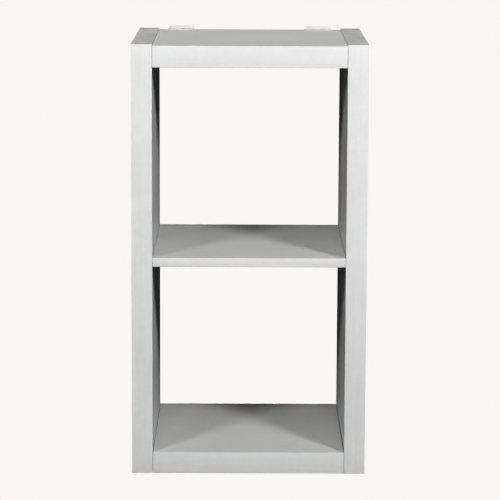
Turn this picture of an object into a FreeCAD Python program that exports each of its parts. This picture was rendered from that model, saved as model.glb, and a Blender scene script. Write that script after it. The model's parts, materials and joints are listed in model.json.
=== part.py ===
import FreeCAD, Part
import math
import os

import Sketcher

# Two-cube open storage unit: two full-height side panels with a top board, a bottom board and
# one fixed shelf between them. The thick panels are board-on-frame: two thin faces over a
# particleboard frame with a paper honeycomb core, and a band on every edge that shows.
# Frame: +X is the unit's right seen from the front, the front faces -Y, +Z is up, and the
# origin is at the middle of the footprint, on the floor.

SIZES = {
    # whole unit, without the wall brackets' lips
    "width": 415,
    "depth": 390,
    "height": 765,
    # boards
    "side_thick": 37,
    "board_thick": 38,
    "shelf_thick": 16,
    "top_drop": 2.5,          # the top board sits this much below the tops of the sides
    "joint_gap": 0.4,         # between a board's end and the side panel
    # make-up of a thick panel
    "face_thick": 3,
    "band_thick": 1.2,
    "arris_radius": 0.8,
    "stile_wide": 40,
    "block_long": 60,
    "cell_wide": 30,
    "paper_thick": 0.5,
    # frame screws, driven through a side into a board's end
    "screw_from_middle": 130,
    "screw_head_wide": 12,
    "screw_shank_wide": 6.4,
    "screw_length": 70,
    "screw_socket_wide": 5,
    "screw_socket_deep": 2.2,
    # dowels
    "dowel_from_middle": 98,
    "dowel_wide": 8,
    "dowel_length": 34,
    "dowel_in_side": 12,
    "hole_clearance": 0.1,    # on the diameter
    "hole_spare": 1,          # a blind hole is this much deeper than what goes in it
    # wall brackets
    "bracket_from_middle": 128.5,
    "bracket_wide": 50,
    "bracket_deep": 18,
    "bracket_lip": 6.5,
    "bracket_thick": 1.2,
    "bracket_bend": 1.8,      # radius outside the bend
    "bracket_inner_bend": 0.6,
    "bracket_corner": 3,      # radius of the flat leg's free corners
    "lip_corner": 1.5,        # radius of the lip's top corners
    # screws that hold the brackets down
    "pan_from_middle": 15,
    "pan_from_back": 10,
    "pan_shank_wide": 3.5,
    "pan_head_wide": 7,
    "pan_head_tall": 1.6,
    "pan_length": 16,
    "pan_slot_wide": 0.9,
    "pan_clearance": 0.5,     # on the diameter of the bracket's own holes
}

DOC = FreeCAD.newDocument("cube_unit")
SHEET = DOC.addObject("Spreadsheet::Sheet", "Sizes")
PARTS = []

# Places that several pieces share, as expressions over the sheet.
INNER_HALF = "(Sizes.width / 2 - Sizes.side_thick)"
BOARD_HALF = f"({INNER_HALF} - Sizes.joint_gap)"
FRAME_THICK = "(Sizes.side_thick - 2 * Sizes.face_thick)"
BOARD_FRAME = "(Sizes.board_thick - 2 * Sizes.face_thick)"
FACE_DEEP = "(Sizes.depth - 2 * Sizes.band_thick)"
FACE_TALL = "(Sizes.height - 2 * Sizes.band_thick)"
CORE_DEEP = f"({FACE_DEEP} - 2 * Sizes.stile_wide)"
TOP_BASE = "(Sizes.height - Sizes.top_drop - Sizes.board_thick)"
TOP_JOINT = f"({TOP_BASE} + Sizes.board_thick / 2)"
LOW_JOINT = "(Sizes.board_thick / 2)"
SHELF_MIDDLE = f"(({TOP_BASE} + Sizes.board_thick) / 2)"
SCREW_HOLE = "(Sizes.screw_shank_wide + Sizes.hole_clearance)"
DOWEL_HOLE = "(Sizes.dowel_wide + Sizes.hole_clearance)"
HEAD_HOLE = "(Sizes.screw_head_wide + Sizes.hole_clearance)"
BRACKET_SEAT = f"({TOP_BASE} + Sizes.board_thick)"


def fill_sheet():
    """Writes each driving size to its own row, with its name as the cell's alias."""
    for row, (name, value) in enumerate(SIZES.items(), start=1):
        SHEET.set(f"A{row}", name)
        SHEET.set(f"B{row}", str(value))
        SHEET.setAlias(f"B{row}", name)
    DOC.recompute()


def bind(thing, **sizes):
    """Ties properties of an object to expressions over the sheet."""
    for name, expression in sizes.items():
        thing.setExpression(name, expression)


def place(thing, x="0", y="0", z="0", turned=0):
    """Puts an object at a point, turned by whole degrees about the vertical."""
    thing.Placement = FreeCAD.Placement(FreeCAD.Vector(), FreeCAD.Rotation(turned, 0, 0))
    for axis, expression in zip("xyz", (x, y, z)):
        thing.setExpression(f"Placement.Base.{axis}", f"({expression}) * 1 mm")


def keep(thing):
    """Lists an object as a finished sub-part."""
    PARTS.append(thing)
    return thing


def new_body(label):
    body = DOC.addObject("PartDesign::Body", label)
    body.Label = label
    return body


def add_block(body, low, size):
    """Adds a cuboid to a body: its lowest corner and its three sizes are expressions."""
    block = body.newObject("PartDesign::AdditiveBox", "stock")
    bind(block, Length=size[0], Width=size[1], Height=size[2])
    for axis, expression in zip("xyz", low):
        block.setExpression(f"Placement.Base.{axis}", f"({expression}) * 1 mm")
    DOC.recompute()
    return block


def cuboid(label, low, size):
    """A plain sawn piece, given by its lowest corner and its three sizes."""
    piece = DOC.addObject("Part::Box", label)
    piece.Label = label
    bind(piece, Length=size[0], Width=size[1], Height=size[2])
    place(piece, *low)
    return keep(piece)


def sketch_on(body, role, name):
    """A sketch on one of the body's own origin planes."""
    plane = [item for item in body.Origin.OriginFeatures if item.Role == role][0]
    sketch = body.newObject("Sketcher::SketchObject", name)
    sketch.AttachmentSupport = [(plane, "")]
    sketch.MapMode = "FlatFace"
    return sketch


def hole_pair(sketch, name, across, up, wide):
    """Two equal circles, one each side of the sketch's vertical axis."""
    first = sketch.addGeometry(Part.Circle(FreeCAD.Vector(60, 20, 0), FreeCAD.Vector(0, 0, 1), 4))
    second = sketch.addGeometry(Part.Circle(FreeCAD.Vector(-60, 20, 0), FreeCAD.Vector(0, 0, 1), 4))
    sketch.addConstraint(Sketcher.Constraint("Equal", first, second))
    sketch.addConstraint(Sketcher.Constraint("Symmetric", first, 3, second, 3, -2))
    rules = (
        ("wide", Sketcher.Constraint("Diameter", first, 8), wide),
        ("across", Sketcher.Constraint("DistanceX", -1, 1, first, 3, 60), across),
        ("up", Sketcher.Constraint("DistanceY", -1, 1, first, 3, 20), up),
    )
    for rule, constraint, expression in rules:
        index = sketch.addConstraint(constraint)
        sketch.renameConstraint(index, f"{name}_{rule}")
        sketch.setExpression(f"Constraints.{name}_{rule}", f"({expression}) * 1 mm")


def drill(body, name, pairs, deep=None, plane="YZ_Plane", start=None, backwards=False):
    """Drills pairs of holes into a body, through it or to a depth.

    They start at one of the body's own origin planes, or at a distance past it, and run along
    that plane's positive normal, or against it."""
    before = body.Shape.Volume
    sketch = sketch_on(body, plane, f"{name}_sketch")
    if start is not None:
        sketch.setExpression("AttachmentOffset.Base.z", f"({start}) * 1 mm")
    for index, (across, up, wide) in enumerate(pairs):
        hole_pair(sketch, f"hole{index}", across, up, wide)
    pocket = body.newObject("PartDesign::Pocket", name)
    pocket.Profile = sketch
    pocket.Reversed = not backwards
    if deep is None:
        pocket.Type = "ThroughAll"
    else:
        bind(pocket, Length=deep)
    DOC.recompute()
    if body.Shape.Volume >= before:
        raise RuntimeError(f"{body.Label}: {name} removed nothing")


def round_edges(body, flat_axis, flat_at, along=None):
    """Rounds the edges that lie in one plane of the body's last feature.

    flat_axis and flat_at name the plane; along keeps only the edges that run along that axis."""
    base = body.Tip
    names = []
    for index, edge in enumerate(base.Shape.Edges, start=1):
        ends = [vertex.Point for vertex in edge.Vertexes]
        in_plane = all(abs(point["xyz".index(flat_axis)] - flat_at) < 1e-6 for point in ends)
        run = ends[1] - ends[0]
        runs_along = along is None or abs(run["xyz".index(along)]) > 0.5 * run.Length
        if in_plane and runs_along:
            names.append(f"Edge{index}")
    fillet = body.newObject("PartDesign::Fillet", "rounding")
    fillet.Base = (base, names)
    bind(fillet, Radius="Sizes.arris_radius")
    DOC.recompute()


# --- side panels -------------------------------------------------------------------------


def side_place(body, side, from_inside):
    """Sets a body whose own +X points out of the unit at a distance beyond the inner surface."""
    sign = "" if side == "right" else "-"
    place(body, x=f"{sign}({INNER_HALF} + {from_inside})", turned=0 if side == "right" else 180)


def side_face(side, layer):
    """Thin face of a side panel. The outer one has the screw heads' holes; the inner one the
    holes for the screws' shanks and for the corner and shelf dowels."""
    body = new_body(f"{side}_side_{layer}_face")
    add_block(body, ("0", f"-{FACE_DEEP} / 2", "Sizes.band_thick"),
              ("Sizes.face_thick", FACE_DEEP, FACE_TALL))
    heights = (LOW_JOINT, TOP_JOINT)
    if layer == "outer":
        drill(body, "head_holes", [("Sizes.screw_from_middle", up, HEAD_HOLE) for up in heights])
        side_place(body, side, "Sizes.side_thick - Sizes.face_thick")
    else:
        holes = [("Sizes.screw_from_middle", up, SCREW_HOLE) for up in heights]
        holes += [("Sizes.dowel_from_middle", up, DOWEL_HOLE) for up in heights]
        holes.append(("Sizes.screw_from_middle", SHELF_MIDDLE, DOWEL_HOLE))
        drill(body, "fixing_holes", holes)
        side_place(body, side, "0")
    keep(body)


def side_stile(side, end):
    """Upright of the frame inside a side panel, along its front or its rear edge."""
    low_x = INNER_HALF if side == "right" else f"-{INNER_HALF} - Sizes.side_thick"
    low_y = f"-{FACE_DEEP} / 2" if end == "front" else f"{FACE_DEEP} / 2 - Sizes.stile_wide"
    cuboid(f"{side}_side_{end}_stile", (f"{low_x} + Sizes.face_thick", low_y, "Sizes.band_thick"),
           (FRAME_THICK, "Sizes.stile_wide", FACE_TALL))


def side_block(side, level):
    """Solid block between the stiles, where a board or the shelf is fixed to the side."""
    bases = {
        "top": "Sizes.height - Sizes.band_thick - Sizes.block_long",
        "middle": f"{SHELF_MIDDLE} - Sizes.block_long / 2",
        "bottom": "Sizes.band_thick",
    }
    body = new_body(f"{side}_side_{level}_block")
    add_block(body, ("0", f"-{CORE_DEEP} / 2", bases[level]),
              (FRAME_THICK, CORE_DEEP, "Sizes.block_long"))
    dowel_deep = "Sizes.dowel_in_side - Sizes.face_thick + Sizes.hole_spare"
    if level == "middle":
        drill(body, "dowel_holes", [("Sizes.screw_from_middle", SHELF_MIDDLE, DOWEL_HOLE)], dowel_deep)
    else:
        joint = TOP_JOINT if level == "top" else LOW_JOINT
        drill(body, "screw_holes", [("Sizes.screw_from_middle", joint, SCREW_HOLE)])
        drill(body, "dowel_holes", [("Sizes.dowel_from_middle", joint, DOWEL_HOLE)], dowel_deep)
    side_place(body, side, "Sizes.face_thick")
    keep(body)


def side_upright_band(side, end):
    """Band on the full-height front or rear edge of a side panel, its outer edges rounded."""
    body = new_body(f"{side}_side_{end}_edge_band")
    add_block(body, ("-Sizes.side_thick / 2", "0", "0"),
              ("Sizes.side_thick", "Sizes.band_thick", "Sizes.height"))
    round_edges(body, "y", 0)
    sign = "" if side == "right" else "-"
    place(body, x=f"{sign}({INNER_HALF} + Sizes.side_thick / 2)",
          y="-Sizes.depth / 2" if end == "front" else "Sizes.depth / 2",
          turned=0 if end == "front" else 180)
    keep(body)


def side_end_band(side, end):
    """Band on the top or the bottom end of a side panel, between the upright bands."""
    body = new_body(f"{side}_side_{end}_edge_band")
    add_block(body, ("-Sizes.side_thick / 2", f"-{FACE_DEEP} / 2", "0"),
              ("Sizes.side_thick", FACE_DEEP, "Sizes.band_thick"))
    round_edges(body, "z", SIZES["band_thick"] if end == "top" else 0, along="y")
    sign = "" if side == "right" else "-"
    place(body, x=f"{sign}({INNER_HALF} + Sizes.side_thick / 2)",
          z="Sizes.height - Sizes.band_thick" if end == "top" else "0")
    keep(body)


# --- top and bottom boards ---------------------------------------------------------------


def board_base(board):
    return TOP_BASE if board == "top" else "0"


def bracket_screw_pairs():
    """Where the bracket screws go down, measured from the middle of the unit."""
    back = "Sizes.depth / 2 - Sizes.pan_from_back"
    return [(f"Sizes.bracket_from_middle {sign} Sizes.pan_from_middle", back, "Sizes.pan_shank_wide")
            for sign in ("-", "+")]


def board_face(board, layer):
    """Thin face of the top or the bottom board. The top board's upper face has the holes of the
    screws that hold the wall brackets."""
    size = (f"2 * {BOARD_HALF}", FACE_DEEP, "Sizes.face_thick")
    base = board_base(board)
    if layer == "upper":
        base += " + Sizes.board_thick - Sizes.face_thick"
    if board == "top" and layer == "upper":
        body = new_body("top_board_upper_face")
        add_block(body, (f"-{BOARD_HALF}", f"-{FACE_DEEP} / 2", "0"), size)
        drill(body, "bracket_holes", bracket_screw_pairs(), plane="XY_Plane")
        place(body, z=base)
        keep(body)
    else:
        cuboid(f"{board}_board_{layer}_face", (f"-{BOARD_HALF}", f"-{FACE_DEEP} / 2", base), size)


def board_rail(board, end):
    """Long member of the frame inside a thick board, along its front or its rear edge. The top
    board's rear rail takes the bracket screws."""
    size = (f"2 * {BOARD_HALF}", "Sizes.stile_wide", BOARD_FRAME)
    low_y = f"-{FACE_DEEP} / 2" if end == "front" else f"{FACE_DEEP} / 2 - Sizes.stile_wide"
    base = f"{board_base(board)} + Sizes.face_thick"
    if board == "top" and end == "rear":
        body = new_body("top_board_rear_rail")
        add_block(body, (f"-{BOARD_HALF}", low_y, f"-{BOARD_FRAME}"), size)
        drill(body, "bracket_holes", bracket_screw_pairs(), plane="XY_Plane", backwards=True,
              deep="Sizes.pan_length - Sizes.face_thick")
        place(body, z=f"{base} + {BOARD_FRAME}")
        keep(body)
    else:
        cuboid(f"{board}_board_{end}_rail", (f"-{BOARD_HALF}", low_y, base), size)


def board_block(board, side):
    """Solid block at one end of a thick board, which takes the frame screws and corner dowels."""
    body = new_body(f"{board}_board_{side}_block")
    add_block(body, ("0", f"-{CORE_DEEP} / 2", "Sizes.face_thick"),
              ("Sizes.block_long", CORE_DEEP, BOARD_FRAME))
    middle = "Sizes.board_thick / 2"
    drill(body, "screw_holes", [("Sizes.screw_from_middle", middle, SCREW_HOLE)],
          "Sizes.screw_length - Sizes.side_thick - Sizes.joint_gap + Sizes.hole_spare")
    drill(body, "dowel_holes", [("Sizes.dowel_from_middle", middle, DOWEL_HOLE)],
          "Sizes.dowel_length - Sizes.dowel_in_side - Sizes.joint_gap + Sizes.hole_spare")
    sign = "-" if side == "left" else ""
    place(body, x=f"{sign}{BOARD_HALF}", z=board_base(board), turned=0 if side == "left" else 180)
    keep(body)


def cross_band(label, thick, base, end):
    """Band on the front or rear edge of a board that lies between the sides."""
    body = new_body(label)
    add_block(body, (f"-{BOARD_HALF}", "0", "0"), (f"2 * {BOARD_HALF}", "Sizes.band_thick", thick))
    round_edges(body, "y", 0, along="x")
    place(body, y="-Sizes.depth / 2" if end == "front" else "Sizes.depth / 2", z=base,
          turned=0 if end == "front" else 180)
    keep(body)


# --- paper cores -------------------------------------------------------------------------


def honeycomb(label, wide, tall, thick, placement):
    """Expanded paper core: a sheet of hexagonal cells, cut to a rectangle with a paper rim.

    The sheet lies in the X-Y plane, centred on the origin, and its cells run along +Z."""
    cell = SIZES["cell_wide"]
    paper = SIZES["paper_thick"]
    corner = (cell - paper) / math.sqrt(3)
    row_step = cell * math.sqrt(3) / 2
    rows = math.ceil(tall / row_step / 2) + 1
    columns = math.ceil(wide / cell / 2) + 1
    cells = []
    for row in range(-rows, rows + 1):
        for column in range(-columns, columns + 1):
            centre = FreeCAD.Vector((column + 0.5 * (row % 2)) * cell, row * row_step, 0)
            points = [
                centre + FreeCAD.Vector(corner * math.sin(turn * math.pi / 3),
                                        corner * math.cos(turn * math.pi / 3), 0)
                for turn in range(6)
            ]
            cells.append(Part.Face(Part.makePolygon(points + points[:1])))
    sheet = Part.makePlane(wide, tall, FreeCAD.Vector(-wide / 2, -tall / 2, 0))
    inside = Part.makePlane(wide - 2 * paper, tall - 2 * paper,
                            FreeCAD.Vector(paper - wide / 2, paper - tall / 2, 0))
    web = sheet.cut(Part.makeCompound(cells).common(inside))
    core = DOC.addObject("Part::Feature", label)
    core.Label = label
    core.Shape = web.extrude(FreeCAD.Vector(0, 0, thick)).Solids[0]
    core.Placement = placement
    keep(core)


def panel_cores():
    """Honeycomb of each side, above and below its middle block, and of the two boards."""
    size = SIZES
    frame_thick = size["side_thick"] - 2 * size["face_thick"]
    core_deep = size["depth"] - 2 * size["band_thick"] - 2 * size["stile_wide"]
    inner_half = size["width"] / 2 - size["side_thick"]
    top_base = size["height"] - size["top_drop"] - size["board_thick"]
    shelf_middle = (top_base + size["board_thick"]) / 2
    ends = size["band_thick"] + size["block_long"]
    spans = {
        "upper": (shelf_middle + size["block_long"] / 2, size["height"] - ends),
        "lower": (ends, shelf_middle - size["block_long"] / 2),
    }
    # cells run along X here, so the sheet's own X stands upright
    upright = FreeCAD.Rotation(FreeCAD.Vector(0, 1, 0), 90)
    for side in ("left", "right"):
        low_x = inner_half + size["face_thick"]
        if side == "left":
            low_x = -inner_half - size["side_thick"] + size["face_thick"]
        for name, (low, high) in spans.items():
            centre = FreeCAD.Vector(low_x, 0, (low + high) / 2)
            honeycomb(f"{side}_side_{name}_core", high - low, core_deep, frame_thick,
                      FreeCAD.Placement(centre, upright))
    board_long = 2 * (inner_half - size["joint_gap"] - size["block_long"])
    for board, base in (("bottom", 0), ("top", top_base)):
        centre = FreeCAD.Vector(0, 0, base + size["face_thick"])
        honeycomb(f"{board}_board_core", board_long, core_deep,
                  size["board_thick"] - 2 * size["face_thick"],
                  FreeCAD.Placement(centre, FreeCAD.Rotation()))


# --- shelf -------------------------------------------------------------------------------


def shelf_board():
    """Solid particleboard shelf, with two blind dowel holes in each end."""
    body = new_body("shelf_board")
    add_block(body, ("0", f"-{FACE_DEEP} / 2", "0"), (f"2 * {BOARD_HALF}", FACE_DEEP, "Sizes.shelf_thick"))
    holes = [("Sizes.screw_from_middle", "Sizes.shelf_thick / 2", DOWEL_HOLE)]
    deep = "Sizes.dowel_length - Sizes.dowel_in_side - Sizes.joint_gap + Sizes.hole_spare"
    drill(body, "left_dowel_holes", holes, deep)
    drill(body, "right_dowel_holes", holes, deep, start=f"2 * {BOARD_HALF}", backwards=True)
    place(body, x=f"-{BOARD_HALF}", z=f"{SHELF_MIDDLE} - Sizes.shelf_thick / 2")
    keep(body)


# --- fasteners ---------------------------------------------------------------------------


def rod(name, wide, length, at="0", tip=None):
    """A round length along +Z: a cylinder, or a cone when it has a tip width."""
    if tip is None:
        piece = DOC.addObject("Part::Cylinder", name)
        bind(piece, Radius=f"{wide} / 2", Height=length)
    else:
        piece = DOC.addObject("Part::Cone", name)
        bind(piece, Radius1=f"{wide} / 2", Radius2=f"{tip} / 2", Height=length)
    place(piece, z=at)
    return piece


def joined(name, pieces):
    fuse = DOC.addObject("Part::MultiFuse", name)
    fuse.Shapes = pieces
    fuse.Refine = True
    return fuse


def less(name, base, tool):
    cut = DOC.addObject("Part::Cut", name)
    cut.Base = base
    cut.Tool = tool
    return cut


def group(label, master, spots, rotations):
    """One node that holds several copies of the same fastener as separate solids."""
    copies = []
    for index, (spot, rotation) in enumerate(zip(spots, rotations)):
        copy = DOC.addObject("App::Link", f"{label}_{index}")
        copy.LinkedObject = master
        copy.Placement = FreeCAD.Placement(FreeCAD.Vector(), rotation)
        for axis, expression in zip("xyz", spot):
            copy.setExpression(f"Placement.Base.{axis}", f"({expression}) * 1 mm")
        copies.append(copy)
    compound = DOC.addObject("Part::Compound", label)
    compound.Label = label
    compound.Links = copies
    keep(compound)


def across_spots(outer, from_middle, heights):
    """Spots on both sides, front and rear, at each height, with +Z turned towards the middle."""
    spots = []
    rotations = []
    for up in heights:
        for depth_sign in ("-", ""):
            for side_sign, turn in (("-", 90), ("", -90)):
                spots.append((f"{side_sign}({outer})", f"{depth_sign}Sizes.{from_middle}", up))
                rotations.append(FreeCAD.Rotation(FreeCAD.Vector(0, 1, 0), turn))
    return spots, rotations


def frame_screws():
    """Connecting screws with a flat head and hex socket, two through each side at each board."""
    taper = "Sizes.screw_shank_wide"
    head = rod("screw_head", "Sizes.screw_head_wide", "Sizes.face_thick")
    shank = rod("screw_shank", "Sizes.screw_shank_wide", f"Sizes.screw_length - {taper}")
    tip = rod("screw_tip", "Sizes.screw_shank_wide", taper, f"Sizes.screw_length - {taper}",
              tip="Sizes.screw_shank_wide / 3")
    socket = DOC.addObject("Part::Prism", "screw_socket")
    socket.Polygon = 6
    bind(socket, Circumradius="Sizes.screw_socket_wide / sqrt(3)", Height="Sizes.screw_socket_deep")
    screw = less("frame_screw", joined("screw_blank", [head, shank, tip]), socket)
    group("frame_screws", screw,
          *across_spots("Sizes.width / 2", "screw_from_middle", (LOW_JOINT, TOP_JOINT)))


def dowels():
    """Beech dowels: beside the frame screws at each corner, and alone at the shelf's ends."""
    taper = "Sizes.dowel_wide / 8"
    near = rod("dowel_near_end", "Sizes.dowel_wide * 0.75", taper, tip="Sizes.dowel_wide")
    middle = rod("dowel_middle", "Sizes.dowel_wide", f"Sizes.dowel_length - 2 * {taper}", taper)
    far = rod("dowel_far_end", "Sizes.dowel_wide", taper, f"Sizes.dowel_length - {taper}",
              tip="Sizes.dowel_wide * 0.75")
    dowel = joined("dowel", [near, middle, far])
    start = f"{INNER_HALF} + Sizes.dowel_in_side"
    group("corner_dowels", dowel, *across_spots(start, "dowel_from_middle", (LOW_JOINT, TOP_JOINT)))
    group("shelf_dowels", dowel, *across_spots(start, "screw_from_middle", (SHELF_MIDDLE,)))


# --- wall brackets -----------------------------------------------------------------------


def wall_bracket(side):
    """Bent steel angle that keeps the unit to a wall: a flat leg on the top board and a short
    lip that stands up level with its rear edge."""
    body = new_body(f"wall_bracket_{side}")
    add_block(body, ("-Sizes.bracket_wide / 2", "0", "0"),
              ("Sizes.bracket_wide", "Sizes.bracket_deep", "Sizes.bracket_thick"))
    add_block(body, ("-Sizes.bracket_wide / 2", "Sizes.bracket_deep - Sizes.bracket_thick", "0"),
              ("Sizes.bracket_wide", "Sizes.bracket_thick", "Sizes.bracket_lip"))
    thick = SIZES["bracket_thick"]
    deep = SIZES["bracket_deep"]
    half = SIZES["bracket_wide"] / 2
    lip = SIZES["bracket_lip"]
    # each radius, with the middles of the edges that it rounds
    roundings = {
        "bracket_bend": [(0, deep, 0)],
        "bracket_inner_bend": [(0, deep - thick, thick)],
        "bracket_corner": [(x, 0, thick / 2) for x in (-half, half)],
        "lip_corner": [(x, deep - thick / 2, lip) for x in (-half, half)],
    }
    for radius, places in roundings.items():
        base = body.Tip
        names = []
        for index, edge in enumerate(base.Shape.Edges, start=1):
            middle = edge.BoundBox.Center
            if any(middle.isEqual(FreeCAD.Vector(*at), 1e-6) for at in places):
                names.append(f"Edge{index}")
        if len(names) != len(places):
            raise RuntimeError(f"{body.Label}: {radius} found {len(names)} edges")
        fillet = body.newObject("PartDesign::Fillet", radius)
        fillet.Base = (base, names)
        bind(fillet, Radius=f"Sizes.{radius}")
        DOC.recompute()
    drill(body, "screw_holes",
          [("Sizes.pan_from_middle", "Sizes.bracket_deep - Sizes.pan_from_back",
            "Sizes.pan_shank_wide + Sizes.pan_clearance")],
          deep="Sizes.bracket_thick", plane="XY_Plane")
    sign = "-" if side == "left" else ""
    place(body, x=f"{sign}Sizes.bracket_from_middle", y="Sizes.depth / 2 - Sizes.bracket_deep",
          z=BRACKET_SEAT)
    keep(body)


def bracket_screws():
    """Pan-head wood screws with a cross recess, two down through each bracket."""
    taper = "Sizes.pan_shank_wide"
    head = rod("pan_head", "Sizes.pan_head_wide", "Sizes.pan_head_tall", tip="Sizes.pan_head_wide * 0.6")
    top = "Sizes.pan_head_tall"
    shank = rod("pan_shank", taper, f"Sizes.pan_length - {taper}")
    tip = rod("pan_tip", taper, taper, f"Sizes.pan_length - {taper}", tip=f"{taper} / 4")
    for piece in (shank, tip):
        piece.Placement.Rotation = FreeCAD.Rotation(FreeCAD.Vector(1, 0, 0), 180)
    tip.setExpression("Placement.Base.z", f"-(Sizes.pan_length - {taper}) * 1 mm")
    bars = []
    for name, size in (("slot_x", ("Sizes.pan_head_wide / 2", "Sizes.pan_slot_wide")),
                       ("slot_y", ("Sizes.pan_slot_wide", "Sizes.pan_head_wide / 2"))):
        bar = DOC.addObject("Part::Box", name)
        bind(bar, Length=size[0], Width=size[1], Height=top)
        place(bar, x=f"-{size[0]} / 2", y=f"-{size[1]} / 2", z=f"{top} / 2")
        bars.append(bar)
    screw = less("bracket_screw", joined("pan_blank", [head, shank, tip]), joined("pan_cross", bars))
    spots = [
        (f"{side}Sizes.bracket_from_middle {near} Sizes.pan_from_middle",
         "Sizes.depth / 2 - Sizes.pan_from_back", f"{BRACKET_SEAT} + Sizes.bracket_thick")
        for side in ("-", "") for near in ("-", "+")
    ]
    group("bracket_screws", screw, spots, [FreeCAD.Rotation()] * len(spots))


# --- whole unit --------------------------------------------------------------------------


def build():
    fill_sheet()
    for side in ("left", "right"):
        for layer in ("outer", "inner"):
            side_face(side, layer)
        for end in ("front", "rear"):
            side_stile(side, end)
            side_upright_band(side, end)
        for level in ("top", "middle", "bottom"):
            side_block(side, level)
        for end in ("top", "bottom"):
            side_end_band(side, end)
    for board in ("top", "bottom"):
        for layer in ("upper", "lower"):
            board_face(board, layer)
        for end in ("front", "rear"):
            board_rail(board, end)
            cross_band(f"{board}_board_{end}_edge_band", "Sizes.board_thick", board_base(board), end)
        for side in ("left", "right"):
            board_block(board, side)
    panel_cores()
    shelf_board()
    for end in ("front", "rear"):
        cross_band(f"shelf_{end}_edge_band", "Sizes.shelf_thick",
                   f"{SHELF_MIDDLE} - Sizes.shelf_thick / 2", end)
    frame_screws()
    dowels()
    for side in ("left", "right"):
        wall_bracket(side)
    bracket_screws()
    DOC.recompute()


def write_parts():
    """Checks every object and every sub-part, then writes one STEP file for each sub-part."""
    for thing in DOC.Objects:
        if "Invalid" in thing.State or "Error" in thing.State:
            raise RuntimeError(f"{thing.Name} failed: {thing.State}")
    for thing in PARTS:
        if thing.Shape.isNull() or not thing.Shape.isValid() or not thing.Shape.Solids:
            raise RuntimeError(f"{thing.Label} has no sound shape")
    os.makedirs("parts", exist_ok=True)
    for thing in PARTS:
        thing.Shape.exportStep(f"parts/{thing.Label}.step")
        box = thing.Shape.BoundBox
        print(f"{thing.Label}: {len(thing.Shape.Solids)} solid(s), {box.XLength:.1f} x "
              f"{box.YLength:.1f} x {box.ZLength:.1f} mm")
    print(len(PARTS), "sub-parts")


build()
write_parts()
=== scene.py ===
import json
import math

import bmesh
import bpy
import numpy as np
from mathutils import Matrix, Vector

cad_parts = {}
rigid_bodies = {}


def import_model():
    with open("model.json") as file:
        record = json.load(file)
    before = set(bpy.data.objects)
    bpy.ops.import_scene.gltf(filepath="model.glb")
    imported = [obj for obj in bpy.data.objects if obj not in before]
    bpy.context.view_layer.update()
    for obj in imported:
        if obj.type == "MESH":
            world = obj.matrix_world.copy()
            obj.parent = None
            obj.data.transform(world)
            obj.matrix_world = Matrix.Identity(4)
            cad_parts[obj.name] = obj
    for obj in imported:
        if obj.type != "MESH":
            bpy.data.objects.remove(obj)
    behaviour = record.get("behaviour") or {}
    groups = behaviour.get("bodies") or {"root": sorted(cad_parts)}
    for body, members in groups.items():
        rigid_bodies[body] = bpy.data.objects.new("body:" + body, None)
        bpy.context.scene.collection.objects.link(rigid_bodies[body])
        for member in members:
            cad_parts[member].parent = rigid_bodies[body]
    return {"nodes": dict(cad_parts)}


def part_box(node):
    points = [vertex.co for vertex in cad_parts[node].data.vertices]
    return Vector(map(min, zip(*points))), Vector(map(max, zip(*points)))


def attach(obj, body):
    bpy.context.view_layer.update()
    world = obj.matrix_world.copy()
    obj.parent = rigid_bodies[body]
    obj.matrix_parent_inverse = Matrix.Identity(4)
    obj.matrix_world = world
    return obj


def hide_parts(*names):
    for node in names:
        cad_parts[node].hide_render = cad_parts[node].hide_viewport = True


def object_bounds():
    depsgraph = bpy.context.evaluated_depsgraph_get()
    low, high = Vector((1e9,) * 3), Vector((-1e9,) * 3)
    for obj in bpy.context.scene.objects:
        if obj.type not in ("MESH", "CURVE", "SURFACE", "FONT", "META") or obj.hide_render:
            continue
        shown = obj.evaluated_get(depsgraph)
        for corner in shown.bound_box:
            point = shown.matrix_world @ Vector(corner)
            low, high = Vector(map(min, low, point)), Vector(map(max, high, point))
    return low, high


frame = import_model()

cad_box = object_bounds()
nodes = frame["nodes"]

# ---------------------------------------------------------------------------------------
# Side panels: hollow-core boards wrapped in a matt white paper foil. The foil is printed
# and lightly embossed with a straight wood grain that runs up the panel. The wide faces
# are sawn flat, so the CAD's own meshes stay and only take the foil.


def linear(hex_colour):
    """Turns an sRGB hex colour into linear red, green, blue and alpha."""
    values = [int(hex_colour[start:start + 2], 16) / 255 for start in (1, 3, 5)]
    return [v / 12.92 if v <= 0.04045 else ((v + 0.055) / 1.055) ** 2.4 for v in values] + [1.0]


def add_node(tree, kind, inputs=None, **settings):
    """Adds a node with its settings; an input is a plain value or another node's output."""
    node = tree.nodes.new(kind)
    for name, value in settings.items():
        setattr(node, name, value)
    for name, value in (inputs or {}).items():
        if isinstance(value, bpy.types.NodeSocket):
            tree.links.new(value, node.inputs[name])
        else:
            node.inputs[name].default_value = value
    return node


def new_material(name):
    """An empty node material with its Principled shader joined to the output."""
    material = bpy.data.materials.new(name)
    material.use_nodes = True
    tree = material.node_tree
    tree.nodes.clear()
    shader = add_node(tree, "ShaderNodeBsdfPrincipled")
    add_node(tree, "ShaderNodeOutputMaterial", {"Surface": shader.outputs["BSDF"]})
    return material, tree, shader


def per_axis(lengths_mm):
    """Noise scale along X, Y and Z from the size of the pattern along each, in mm."""
    return [1000 / length for length in lengths_mm]


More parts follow.
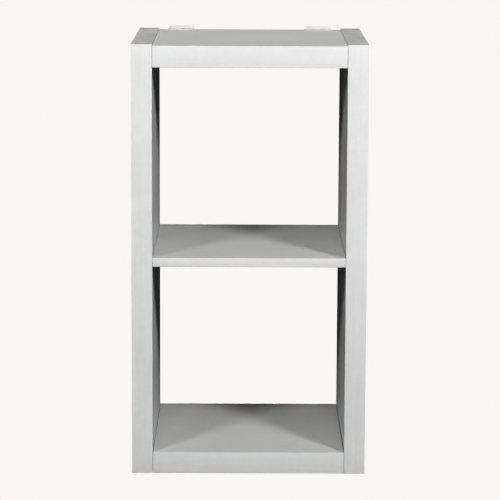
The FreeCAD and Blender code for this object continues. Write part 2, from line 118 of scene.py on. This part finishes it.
def paper_foil(name, grain_mm, light, dark, blotch_mm=11, blotch_share=0.5, cloud_mm=90):
    """Matt white foil: the eye gets a soft, even white with a hint of long straight grain,
    faint blotches where the board shows through, a slow cloudiness over a whole panel, and
    a low satin gloss at a shallow angle.

    grain_mm is the grain's size along X, Y and Z. The real lines are about 0.5 mm wide and
    are drawn wider than that, so that they show."""
    material, tree, shader = new_material(name)
    place = add_node(tree, "ShaderNodeTexCoord").outputs["Object"]
    along = add_node(tree, "ShaderNodeMapping", {"Vector": place, "Scale": per_axis(grain_mm)})
    grain = add_node(tree, "ShaderNodeTexNoise", {
        "Vector": along.outputs["Vector"], "Scale": 1.0, "Detail": 3.0, "Roughness": 0.6,
        "Distortion": 0.3})
    blotch = add_node(tree, "ShaderNodeTexNoise", {
        "Vector": place, "Scale": 1000 / blotch_mm, "Detail": 3.0, "Roughness": 0.65,
        "Distortion": 0.4})
    cloud = add_node(tree, "ShaderNodeTexNoise", {
        "Vector": place, "Scale": 1000 / cloud_mm, "Detail": 2.0, "Roughness": 0.55})
    fine = add_node(tree, "ShaderNodeMix", {
        "Factor": blotch_share, "A": grain.outputs["Fac"], "B": blotch.outputs["Fac"]})
    weight = add_node(tree, "ShaderNodeMix", {
        "Factor": 0.3, "A": fine.outputs["Result"], "B": cloud.outputs["Fac"]})
    spread = add_node(tree, "ShaderNodeMapRange", {
        "Value": weight.outputs["Result"], "From Min": 0.35, "From Max": 0.65})
    colour = add_node(tree, "ShaderNodeMix", {
        "Factor": spread.outputs["Result"], "A": linear(dark), "B": linear(light)},
        data_type="RGBA")
    gloss = add_node(tree, "ShaderNodeMapRange", {
        "Value": fine.outputs["Result"], "From Min": 0.3, "From Max": 0.7,
        "To Min": 0.44, "To Max": 0.56})
    relief = add_node(tree, "ShaderNodeBump", {
        "Height": grain.outputs["Fac"], "Strength": 0.2, "Distance": 0.0001})
    tree.links.new(colour.outputs["Result"], shader.inputs["Base Color"])
    tree.links.new(gloss.outputs["Result"], shader.inputs["Roughness"])
    tree.links.new(relief.outputs["Normal"], shader.inputs["Normal"])
    shader.inputs["IOR"].default_value = 1.5
    return material


def wear(material, *names):
    """Gives CAD nodes a material in place of the one that they came with."""
    for name in names:
        mesh = nodes[name].data
        mesh.materials.clear()
        mesh.materials.append(material)


upright_foil = paper_foil("white_foil_upright_grain", (2.4, 2.4, 160), "#DFDFDF", "#D6D6D6")
sides = ("left", "right")
for side in sides:
    wear(upright_foil, f"{side}_side_outer_face", f"{side}_side_inner_face")

# ---------------------------------------------------------------------------------------
# Edge bands of the side panels: the same foil on a 1.2 mm strip, hot-glued to each edge and
# scraped to a 0.8 mm round along the arrises. The ends are cut across the board, so the
# foil over them is duller and cloudier.


def stations(length, radius, step=0.03, arc_steps=5):
    """Grid places along an edge: close together over the round at each end, by equal turns
    of its arc, and a step apart between them."""
    turns = np.linspace(0, math.pi / 2, arc_steps)
    round_off = radius * (1 - np.cos(turns))
    count = max(2, int(length / step))
    flat = np.linspace(radius, length - radius, count)
    return np.unique(np.round(np.concatenate([round_off, flat, length - round_off]), 7))


def inset(places, length, radius):
    """How far each place lies inside the rounding strip of the nearer end."""
    return np.clip(radius - np.minimum(places, length - places), 0, radius)


def closed_mesh(name, points, faces):
    """A mesh object whose equal points are joined, open rims filled and faces turned out.

    It is shaded smooth but for the edges that turn by more than 40 degrees."""
    mesh = bpy.data.meshes.new(name)
    mesh.from_pydata(points.tolist(), [], faces.tolist())
    shape = bmesh.new()
    shape.from_mesh(mesh)
    bmesh.ops.remove_doubles(shape, verts=shape.verts, dist=1e-6)
    rims = [edge for edge in shape.edges if edge.is_boundary]
    if rims:
        bmesh.ops.holes_fill(shape, edges=rims, sides=0)
    bmesh.ops.recalc_face_normals(shape, faces=shape.faces)
    shape.to_mesh(mesh)
    shape.free()
    mesh.polygons.foreach_set("use_smooth", [True] * len(mesh.polygons))
    mesh.set_sharp_from_angle(angle=math.radians(40))
    thing = bpy.data.objects.new(name, mesh)
    bpy.context.scene.collection.objects.link(thing)
    return thing


def grid_faces(rows, columns, wrap=False):
    """Corner numbers of the quads of a grid of points, row by row."""
    numbers = np.arange(rows * columns).reshape(rows, columns)
    if wrap:
        numbers = np.concatenate([numbers, numbers[:, :1]], axis=1)
    corners = (numbers[:-1, :-1], numbers[1:, :-1], numbers[1:, 1:], numbers[:-1, 1:])
    return np.stack(corners, axis=-1)


def eased_band(node, out, rounded, radius=0.0008):
    """A strip with its outward arrises rounded, made over the CAD strip's own box.

    Over a grid of (u, v) the outward face is set back by r - sqrt(r^2 - a^2 - b^2), where a
    and b are how far the point lies inside the rounding strips of the u and v edges. One
    more ring of points round the grid drops to the inner plane, and a last face closes it."""
    low, high = (np.array(corner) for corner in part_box(node))
    axis = "xyz".index(out[1])
    u_axis, v_axis = [number for number in range(3) if number != axis]
    size = high - low
    radii = [radius if "xyz"[number] in rounded else 0 for number in (u_axis, v_axis)]
    u = stations(size[u_axis], radii[0])
    v = stations(size[v_axis], radii[1])
    a = inset(u, size[u_axis], radii[0])[:, None]
    b = inset(v, size[v_axis], radii[1])[None, :]
    set_back = radius - np.sqrt(np.maximum(radius ** 2 - a ** 2 - b ** 2, 0))
    depth = np.pad(set_back, 1, constant_values=size[axis])
    points = np.zeros(depth.shape + (3,))
    points[..., u_axis] = low[u_axis] + np.pad(u, 1, mode="edge")[:, None]
    points[..., v_axis] = low[v_axis] + np.pad(v, 1, mode="edge")[None, :]
    points[..., axis] = high[axis] - depth if out[0] == "+" else low[axis] + depth
    faces = grid_faces(*depth.shape)
    keep = np.ones(faces.shape[:2], bool)
    keep[[0, 0, -1, -1], [0, -1, 0, -1]] = False
    return closed_mesh(f"{node}_eased", points.reshape(-1, 3), faces[keep])


def stand_for(piece, node, material, body="root"):
    """Dresses a new piece and lets it take a CAD node's place."""
    piece.data.materials.clear()
    piece.data.materials.append(material)
    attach(piece, body)
    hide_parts(node)


end_foil = paper_foil("white_foil_cut_ends", (60, 60, 60), "#E2E2E2", "#B9B9B9",
                      blotch_mm=24, blotch_share=0.8)
for side in sides:
    for end, out in (("front", "-y"), ("rear", "+y")):
        node = f"{side}_side_{end}_edge_band"
        stand_for(eased_band(node, out, rounded="xz"), node, upright_foil)
    for end, out in (("top", "+z"), ("bottom", "-z")):
        node = f"{side}_side_{end}_edge_band"
        stand_for(eased_band(node, out, rounded="x"), node, end_foil)

# ---------------------------------------------------------------------------------------
# Top and bottom boards and the shelf between them: the same foil with its grain running
# across the unit. Their long front and rear edges have the same eased bands. Their ends butt
# against the side panels, and the bands and the bottom board's upper face are eased there.

cross_foil = paper_foil("white_foil_cross_grain", (160, 2.4, 2.4), "#DFDFDF", "#D6D6D6")
wear(cross_foil, "shelf_board", "top_board_upper_face", "top_board_lower_face",
     "bottom_board_lower_face")
stand_for(eased_band("bottom_board_upper_face", "+z", rounded="x"), "bottom_board_upper_face",
          cross_foil)
for board in ("top_board", "bottom_board", "shelf"):
    for end, out in (("front", "-y"), ("rear", "+y")):
        node = f"{board}_{end}_edge_band"
        stand_for(eased_band(node, out, rounded="xz"), node, cross_foil)

# ---------------------------------------------------------------------------------------
# Frame inside each thick panel: stiles, rails and end blocks sawn from raw particleboard
# and glued between the two faces. Its chips lie flat, so they look like short tan flakes
# with darker bark and pale sapwood among them.


def tone_ramp(tree, factor, steps):
    """A colour ramp driven by factor, through each step's position and hex colour."""
    ramp = add_node(tree, "ShaderNodeValToRGB", {"Fac": factor})
    elements = ramp.color_ramp.elements
    while len(elements) < len(steps):
        elements.new(0.5)
    for element, (position, colour) in zip(elements, steps):
        element.position = position
        element.color = linear(colour)
    return ramp


def raw_particleboard():
    """Pressed wood chips: the eye gets flakes of 2 to 4 mm in mixed tans, dull and dry, with
    small pits between them."""
    material, tree, shader = new_material("raw_particleboard")
    chip_mm = 3.0
    bend_mm, bends_per_metre = 3.0, 150.0
    place = add_node(tree, "ShaderNodeTexCoord").outputs["Object"]
    stir = add_node(tree, "ShaderNodeTexNoise", {
        "Vector": place, "Scale": bends_per_metre, "Detail": 2.0})
    bent = add_node(tree, "ShaderNodeVectorMath", {
        0: stir.outputs["Color"], 1: (bend_mm / 1000,) * 3}, operation="MULTIPLY")
    moved = add_node(tree, "ShaderNodeVectorMath", {0: place, 1: bent.outputs[0]})
    chips = add_node(tree, "ShaderNodeTexVoronoi", {
        "Vector": moved.outputs[0], "Scale": 1000 / chip_mm, "Randomness": 1.0})
    tones = tone_ramp(tree, chips.outputs["Color"], (
        (0.0, "#8A6A44"), (0.3, "#B08D60"), (0.6, "#C8A97C"), (1.0, "#DCC49B")))
    relief = add_node(tree, "ShaderNodeBump", {
        "Height": chips.outputs["Distance"], "Strength": 0.5, "Distance": 0.0003})
    tree.links.new(tones.outputs["Color"], shader.inputs["Base Color"])
    tree.links.new(relief.outputs["Normal"], shader.inputs["Normal"])
    shader.inputs["Roughness"].default_value = 0.9
    return material


particleboard = raw_particleboard()
for side in sides:
    wear(particleboard, *(f"{side}_side_{part}" for part in (
        "front_stile", "rear_stile", "top_block", "middle_block", "bottom_block")))
for board in ("top_board", "bottom_board"):
    wear(particleboard, *(f"{board}_{part}" for part in (
        "front_rail", "rear_rail", "left_block", "right_block")))

# ---------------------------------------------------------------------------------------
# Honeycomb cores: expanded brown paper, glued between the faces so that a light panel
# stays stiff. Only the colour and fibre of the paper are added to the CAD's cells.


def brown_paper():
    """Recycled kraft paper: the eye gets a matt brown with short lighter and darker fibres."""
    material, tree, shader = new_material("brown_kraft_paper")
    fibre_mm = 1.5
    place = add_node(tree, "ShaderNodeTexCoord").outputs["Object"]
    fibre = add_node(tree, "ShaderNodeTexNoise", {
        "Vector": place, "Scale": 1000 / fibre_mm, "Detail": 4.0, "Roughness": 0.7, "Distortion": 1.5})
    colour = add_node(tree, "ShaderNodeMix", {
        "Factor": fibre.outputs["Fac"], "A": linear("#96754C"), "B": linear("#C9A97A")},
        data_type="RGBA")
    relief = add_node(tree, "ShaderNodeBump", {
        "Height": fibre.outputs["Fac"], "Strength": 0.3, "Distance": 0.0001})
    tree.links.new(colour.outputs["Result"], shader.inputs["Base Color"])
    tree.links.new(relief.outputs["Normal"], shader.inputs["Normal"])
    shader.inputs["Roughness"].default_value = 0.85
    return material


kraft_paper = brown_paper()
for side in sides:
    wear(kraft_paper, f"{side}_side_upper_core", f"{side}_side_lower_core")
wear(kraft_paper, "top_board_core", "bottom_board_core")

# ---------------------------------------------------------------------------------------
# Frame screws: zinc-plated steel with a flat head and a hex socket, driven through each
# side into the ends of the top and bottom boards until the head is flush with the face.


def bright_zinc():
    """Zinc plate: the eye gets a pale blue-grey metal with a broken, slightly dull shine."""
    material, tree, shader = new_material("bright_zinc_plate")
    patch_mm = 1.2
    place = add_node(tree, "ShaderNodeTexCoord").outputs["Object"]
    patches = add_node(tree, "ShaderNodeTexNoise", {
        "Vector": place, "Scale": 1000 / patch_mm, "Detail": 3.0, "Roughness": 0.6})
    gloss = add_node(tree, "ShaderNodeMapRange", {
        "Value": patches.outputs["Fac"], "To Min": 0.36, "To Max": 0.52})
    colour = add_node(tree, "ShaderNodeMix", {
        "Factor": patches.outputs["Fac"], "A": linear("#B4B9C0"), "B": linear("#D3D6DA")},
        data_type="RGBA")
    tree.links.new(colour.outputs["Result"], shader.inputs["Base Color"])
    tree.links.new(gloss.outputs["Result"], shader.inputs["Roughness"])
    shader.inputs["Metallic"].default_value = 1.0
    return material


def lathe(radii, heights):
    """Points of a turned surface: radius and height are given for each row and turn angle."""
    turn = np.linspace(0, 2 * math.pi, radii.shape[1], endpoint=False)[None, :]
    return np.stack([radii * np.cos(turn), radii * np.sin(turn), heights], axis=-1)


def screw_thread(start, end, core, crest, pitch, turn, rows_per_pitch=8):
    """Rows of a thread: the radius rises from core to crest as a triangle wave of height
    less turn, and fades in over the first pitch."""
    heights = np.arange(start, end, pitch / rows_per_pitch)[:, None] + 0 * turn
    wave = 1 - np.abs(2 * ((heights / pitch - turn / (2 * math.pi)) % 1) - 1)
    fade = np.clip((heights - start) / pitch, 0, 1)
    return core + (crest - core) * fade * np.clip(1.6 * wave - 0.6, 0, 1), heights


def copies_at(name, shape, places):
    """Sets one turned shape at several places and joins the copies into one object.

    A place is a 4 by 4 matrix in metres; the shape is in millimetres."""
    faces = grid_faces(*shape.shape[:2], wrap=True).reshape(-1, 4)
    points = []
    quads = []
    flat = np.concatenate([shape.reshape(-1, 3) / 1000, np.ones((shape[..., 0].size, 1))], axis=1)
    for number, matrix in enumerate(places):
        points.append((flat @ np.array(matrix).T)[:, :3])
        quads.append(faces + number * len(flat))
    return closed_mesh(name, np.concatenate(points), np.concatenate(quads))


def from_both_sides(half_wide, reach_y, levels):
    """Places of fasteners that go in level from the left and the right, front and rear."""
    return [
        Matrix.Translation((sign * half_wide, depth * reach_y, level))
        @ Matrix.Rotation(-sign * math.pi / 2, 4, "Y")
        for level in levels for depth in (-1, 1) for sign in (-1, 1)]


zinc = bright_zinc()
# all in mm; socket_flat is from the middle of the hexagon to its flats
head_radius, head_thick, head_edge_round = 6.0, 3.0, 0.4
socket_flat, socket_deep, socket_chamfer = 2.5, 2.2, 0.25
shank_radius, shank_end, core_radius, thread_pitch = 3.2, 16.0, 2.4, 3.0
screw_long, tip_long = 70.0, 5.0
turn = np.linspace(0, 2 * math.pi, 36, endpoint=False)[None, :]
hexagon = socket_flat / np.cos((turn + math.pi / 6) % (math.pi / 3) - math.pi / 6)
still = np.ones_like(turn)
head_rows = [
    (0 * still, socket_deep), (hexagon * 0.98, socket_deep), (hexagon, socket_deep - 0.1),
    (hexagon, socket_chamfer), (hexagon + socket_chamfer, 0.0),
    (still * (head_radius - head_edge_round), 0.0),
    (still * (head_radius - 0.3 * head_edge_round), 0.3 * head_edge_round),
    (still * head_radius, head_edge_round),
    (still * head_radius, head_thick), (still * shank_radius, head_thick),
    (still * shank_radius, shank_end), (still * core_radius, shank_end + 1)]
thread_radii, thread_heights = screw_thread(
    shank_end + 1.5, screw_long - tip_long - 1, core_radius, shank_radius, thread_pitch, turn)
tip_rows = [(still * 2.2, screw_long - tip_long), (still, screw_long - 0.6), (0 * still, screw_long)]
rows = head_rows + list(zip(thread_radii[:, None], thread_heights[:, None])) + tip_rows
radii = np.concatenate([row for row, _ in rows])
heights = np.concatenate([height * still for _, height in rows])
screw = lathe(radii, heights)
low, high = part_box("frame_screws")
reach = head_radius / 1000
places = from_both_sides(high.x, high.y - reach, (low.z + reach, high.z - reach))
stand_for(copies_at("frame_screws_threaded", screw, places), "frame_screws", zinc)

# ---------------------------------------------------------------------------------------
# Dowels: turned beech with pressed flutes that let the glue out, two beside the screws in
# each corner and two in each end of the shelf.


def beech():
    """Beech: the eye gets a warm pinkish tan with fine straight grain and short dark flecks
    along the dowel."""
    material, tree, shader = new_material("turned_beech")
    grain_mm = (12, 0.6, 0.6)
    place = add_node(tree, "ShaderNodeTexCoord").outputs["Object"]
    along = add_node(tree, "ShaderNodeMapping", {"Vector": place, "Scale": per_axis(grain_mm)})
    grain = add_node(tree, "ShaderNodeTexNoise", {
        "Vector": along.outputs["Vector"], "Scale": 1.0, "Detail": 3.0, "Roughness": 0.6})
    tones = tone_ramp(tree, grain.outputs["Fac"], (
        (0.32, "#9C7046"), (0.42, "#C59A69"), (0.7, "#DDB98A")))
    relief = add_node(tree, "ShaderNodeBump", {
        "Height": grain.outputs["Fac"], "Strength": 0.3, "Distance": 0.0001})
    tree.links.new(tones.outputs["Color"], shader.inputs["Base Color"])
    tree.links.new(relief.outputs["Normal"], shader.inputs["Normal"])
    shader.inputs["Roughness"].default_value = 0.65
    return material


beech_wood = beech()
dowel_radius, dowel_long, end_radius, end_taper, flutes, flute_deep = 4.0, 34.0, 3.0, 1.0, 18, 0.3
turn = np.linspace(0, 2 * math.pi, flutes * 6, endpoint=False)[None, :]
groove = flute_deep * np.clip(np.cos(flutes * turn), 0, 1) ** 2
rows = [
    (0 * turn, 0.0), (0 * turn + end_radius, 0.0), (dowel_radius - groove, end_taper),
    (dowel_radius - groove, dowel_long / 2), (dowel_radius - groove, dowel_long - end_taper),
    (0 * turn + end_radius, dowel_long), (0 * turn, dowel_long)]
radii = np.concatenate([row for row, _ in rows])
heights = np.concatenate([0 * turn + height for _, height in rows])
dowel = lathe(radii, heights)
for node in ("corner_dowels", "shelf_dowels"):
    low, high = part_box(node)
    reach = dowel_radius / 1000
    levels = sorted({round(low.z + reach, 6), round(high.z - reach, 6)})
    places = from_both_sides(high.x, high.y - reach, levels)
    stand_for(copies_at(f"{node}_fluted", dowel, places), node, beech_wood)

# ---------------------------------------------------------------------------------------
# Wall brackets: short angles pressed from 1.2 mm steel and stove-enamelled white, screwed
# down at the top board's rear edge so that their lips stand up level with it.


def white_enamel():
    """Stove enamel: the eye gets a clean, brighter white than the foil, with a soft shine and
    the faint ripple of a sprayed coat."""
    material, tree, shader = new_material("white_stove_enamel")
    ripple_mm = 1.8
    place = add_node(tree, "ShaderNodeTexCoord").outputs["Object"]
    ripple = add_node(tree, "ShaderNodeTexNoise", {
        "Vector": place, "Scale": 1000 / ripple_mm, "Detail": 1.0, "Roughness": 0.4})
    colour = add_node(tree, "ShaderNodeMix", {
        "Factor": ripple.outputs["Fac"], "A": linear("#D4D4D3"), "B": linear("#DDDDDC")},
        data_type="RGBA")
    relief = add_node(tree, "ShaderNodeBump", {
        "Height": ripple.outputs["Fac"], "Strength": 0.15, "Distance": 0.0002})
    tree.links.new(colour.outputs["Result"], shader.inputs["Base Color"])
    tree.links.new(relief.outputs["Normal"], shader.inputs["Normal"])
    shader.inputs["Roughness"].default_value = 0.35
    return material


enamel = white_enamel()
for side in sides:
    node = f"wall_bracket_{side}"
    shape = bmesh.new()
    shape.from_mesh(nodes[node].data)
    bmesh.ops.remove_doubles(shape, verts=shape.verts, dist=1e-6)
    bmesh.ops.dissolve_limit(shape, angle_limit=math.radians(1), verts=shape.verts, edges=shape.edges)
    mesh = bpy.data.meshes.new(f"{node}_pressed")
    shape.to_mesh(mesh)
    shape.free()
    bracket = bpy.data.objects.new(f"{node}_pressed", mesh)
    bpy.context.scene.collection.objects.link(bracket)
    mesh.polygons.foreach_set("use_smooth", [True] * len(mesh.polygons))
    deburr = bracket.modifiers.new("deburred_edges", "BEVEL")
    deburr.width = 0.0002
    deburr.segments = 2
    deburr.angle_limit = math.radians(50)
    deburr.harden_normals = True
    stand_for(bracket, node, enamel)

# ---------------------------------------------------------------------------------------
# Bracket screws: pan heads with a cross recess, enamelled white like the brackets, two down
# through each bracket into the top board's rear rail.

pan_radius, pan_tall, pan_shank, pan_long = 3.5, 1.6, 1.75, 16.0
arm_half_wide, arm_reach, cross_deep, cross_slope = 0.45, 1.75, 0.9, 0.15
turn = np.linspace(0, 2 * math.pi, 64, endpoint=False)[None, :]
across = np.linspace(0, 1, 22)[:, None]
radii_top = pan_radius * np.sin(across * math.pi / 2) + 0 * turn
dome = pan_tall * (1 - (1 - np.cos(across * math.pi / 2)) ** 1.6) + 0 * turn
x = np.abs(radii_top * np.cos(turn))
y = np.abs(radii_top * np.sin(turn))
in_arm = np.maximum(np.minimum(arm_half_wide - x, arm_reach - y),
                    np.minimum(arm_half_wide - y, arm_reach - x))
dome = dome - cross_deep * np.clip(in_arm / cross_slope + 0.5, 0, 1)
pan_core, pan_pitch, pan_tip_long = 1.2, 1.4, 2.2
thread_radii, thread_heights = screw_thread(1.5, pan_long - 3, pan_core, pan_shank, pan_pitch, turn)
radii = np.concatenate([radii_top, 0 * turn + pan_shank, thread_radii, 0 * turn + 0.9, 0 * turn])
heights = np.concatenate([
    dome, 0 * turn, -thread_heights, 0 * turn + pan_tip_long - pan_long, 0 * turn - pan_long])
pan_screw = lathe(radii, heights)
low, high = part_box("bracket_screws")
screw_y = (low.y + high.y) / 2
seat = high.z - pan_tall / 1000
leg_low, leg_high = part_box("wall_bracket_right")
middle = (leg_low.x + leg_high.x) / 2
apart = high.x - pan_radius / 1000 - middle
places = [
    Matrix.Translation((sign * (middle + near * apart), screw_y, seat))
    @ Matrix.Rotation(0.3 * near + 0.5 * sign, 4, "Z")
    for sign in (-1, 1) for near in (-1, 1)]
stand_for(copies_at("bracket_screws_crossed", pan_screw, places), "bracket_screws", enamel)

# ---------------------------------------------------------------------------------------
# Studio: a wide pale floor that carries on as the background, and soft boxes all round.
# Those in front light all but the tops, one overhead the tops alone, and those at the sides
# and behind only the outside. A faint fill and a mild tone curve set how dark shadows fall.


def studio_floor(tone):
    """Pale paper sweep: the eye gets one even tone with no shadow on it, while light bouncing off it
    meets a mid grey.
    """
    material, tree, shader = new_material("studio_paper_sweep")
    tree.nodes.remove(shader)
    output = tree.nodes[0]
    path = add_node(tree, "ShaderNodeLightPath")
    seen = add_node(tree, "ShaderNodeEmission", {"Color": linear(tone), "Strength": 1.0})
    felt = add_node(tree, "ShaderNodeBsdfDiffuse", {"Color": linear("#8A8C8E")})
    mixed = add_node(tree, "ShaderNodeMixShader", {
        0: path.outputs["Is Camera Ray"], 1: felt.outputs[0], 2: seen.outputs[0]})
    tree.links.new(mixed.outputs[0], output.inputs["Surface"])
    return material


sweep_tone = "#F9F5F2"
floor_half = 40.0
floor_mesh = bpy.data.meshes.new("studio_floor")
corners = [(-floor_half, -floor_half, 0), (floor_half, -floor_half, 0),
           (floor_half, floor_half, 0), (-floor_half, floor_half, 0)]
floor_mesh.from_pydata(corners, [], [(0, 1, 2, 3)])
floor = bpy.data.objects.new("studio_floor", floor_mesh)
bpy.context.scene.collection.objects.link(floor)
floor_mesh.materials.append(studio_floor(sweep_tone))


def soft_lamp(name, azimuth_degrees, away, up, size, watts, lights_only):
    """A square soft box that faces the middle of the unit, 0 degrees being straight in front.
    Its light falls on the pieces of the collection lights_only, and on no others."""
    lamp = bpy.data.lights.new(name, "AREA")
    lamp.energy = watts
    lamp.size = size
    thing = bpy.data.objects.new(name, lamp)
    bpy.context.scene.collection.objects.link(thing)
    turned = math.radians(azimuth_degrees)
    thing.location = (away * math.sin(turned), cad_box[0].y - away * math.cos(turned), up)
    aim = Vector((0, 0, 0.4)) - thing.location
    thing.rotation_euler = aim.to_track_quat("-Z", "Y").to_euler()
    thing.light_linking.receiver_collection = lights_only


def pieces_named(title, *words, state="INCLUDE"):
    """A collection for a lamp: the pieces with one of these words in their names. They are
    the ones that it lights, or with state "EXCLUDE" the ones that it passes over."""
    group = bpy.data.collections.new(title)
    for thing in bpy.context.scene.objects:
        if thing.type == "MESH" and any(word in thing.name for word in words):
            group.objects.link(thing)
    for member in group.collection_objects:
        member.light_linking.link_state = state
    return group


tops = ("top_board_upper_face", "side_top_edge_band")
outside = ("outer_face", "side_front_edge_band", "side_top_edge_band", "side_bottom_edge_band",
           "rear_edge_band", "frame_screws", "wall_bracket")
all_but_tops = pieces_named("all_but_the_tops", *tops, state="EXCLUDE")
tops_alone = pieces_named("tops_alone", *tops)
outside_alone = pieces_named("outside_alone", *outside)
soft_lamp("left_key_box", -35.5, away=2.4, up=1.75, size=0.45, watts=22.5, lights_only=all_but_tops)
soft_lamp("right_key_box", 35.5, away=2.4, up=1.75, size=0.45, watts=36, lights_only=all_but_tops)
soft_lamp("front_box", 0, away=2.4, up=2.0, size=1.0, watts=30, lights_only=all_but_tops)
soft_lamp("top_box", 0, away=-0.2, up=2.6, size=1.2, watts=27, lights_only=tops_alone)
soft_lamp("left_side_box", -97, away=2.6, up=0.35, size=0.7, watts=38, lights_only=outside_alone)
soft_lamp("right_side_box", 97, away=2.6, up=0.35, size=0.7, watts=38, lights_only=outside_alone)
soft_lamp("rear_box", 180, away=3.0, up=0.35, size=0.7, watts=60, lights_only=outside_alone)

world = bpy.data.worlds.new("studio")
bpy.context.scene.world = world
world.use_nodes = True
world.node_tree.nodes.clear()
path = add_node(world.node_tree, "ShaderNodeLightPath")
fill_strength, mirrored_strength = 0.067, 0.18
strength = add_node(world.node_tree, "ShaderNodeMapRange", {
    "Value": path.outputs["Is Glossy Ray"], "To Min": fill_strength, "To Max": mirrored_strength})
fill = add_node(world.node_tree, "ShaderNodeBackground", {
    "Color": linear("#FCFFF4"), "Strength": strength.outputs["Result"]})
sweep = add_node(world.node_tree, "ShaderNodeBackground", {
    "Color": linear(sweep_tone), "Strength": 1.0})
both = add_node(world.node_tree, "ShaderNodeMixShader", {
    0: path.outputs["Is Camera Ray"], 1: fill.outputs[0], 2: sweep.outputs[0]})
add_node(world.node_tree, "ShaderNodeOutputWorld", {"Surface": both.outputs[0]})

view = bpy.context.scene.view_settings
view.view_transform = "Standard"
view.use_curve_mapping = True
tone_curve = view.curve_mapping.curves[3]
tone_points = ((0.06, 0.006), (0.14, 0.035), (0.28, 0.2), (0.43, 0.39), (0.6, 0.59), (0.75, 0.76))
for light_in, light_shown in tone_points:
    tone_curve.points.new(light_in, light_shown)
view.curve_mapping.update()

# ---------------------------------------------------------------------------------------
# Camera: a long lens about four and a half metres in front of the unit, a little above its
# top and tilted down towards its middle.

camera_data = bpy.data.cameras.new("camera")
camera_data.lens = 176.4
camera_data.sensor_width = 36
camera_data.clip_end = 200
camera = bpy.data.objects.new("camera", camera_data)
bpy.context.scene.collection.objects.link(camera)
off_middle, away, up = -0.0075, 4.2493, 1.1077
camera.location = (off_middle, cad_box[0].y - away, up)
yaw, pitch, roll = 0.0021, 0.1641, 0.0041
camera.rotation_euler = (
    Matrix.Rotation(-yaw, 3, "Z") @ Matrix.Rotation(math.pi / 2 - pitch, 3, "X")
    @ Matrix.Rotation(roll, 3, "Z")).to_euler()
bpy.context.scene.camera = camera
